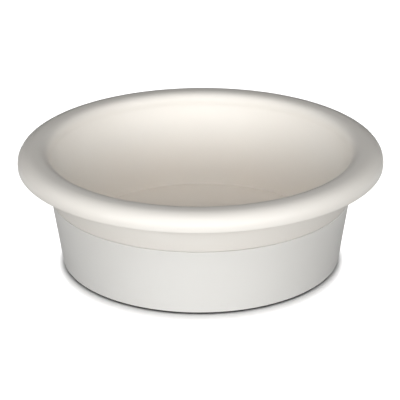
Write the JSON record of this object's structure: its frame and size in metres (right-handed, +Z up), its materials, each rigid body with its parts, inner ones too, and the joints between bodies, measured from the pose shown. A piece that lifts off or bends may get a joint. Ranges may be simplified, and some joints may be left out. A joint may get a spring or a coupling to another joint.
{
  "type": "feed bowl",
  "caption": "Low round feed bowl with a fat rolled rim, a dished inside, a tapered skirt under a collar, and a rubber foot ring.",
  "frame": {"origin": "centre of the circle that the bowl stands on, at ground level", "axes": "+Z up along the axis that every piece is turned about"},
  "size_m": [0.273, 0.273, 0.089],
  "materials": {
    "bowl_plastic": "satin warm off-white",
    "skirt_plastic": "satin off-white",
    "foot_rubber": "matt black"
  },
  "bodies": {
    "root": {"inner_bowl": "bowl_plastic", "outer_skirt": "skirt_plastic", "non_slip_ring": "foot_rubber"}
  },
  "joints": []
}
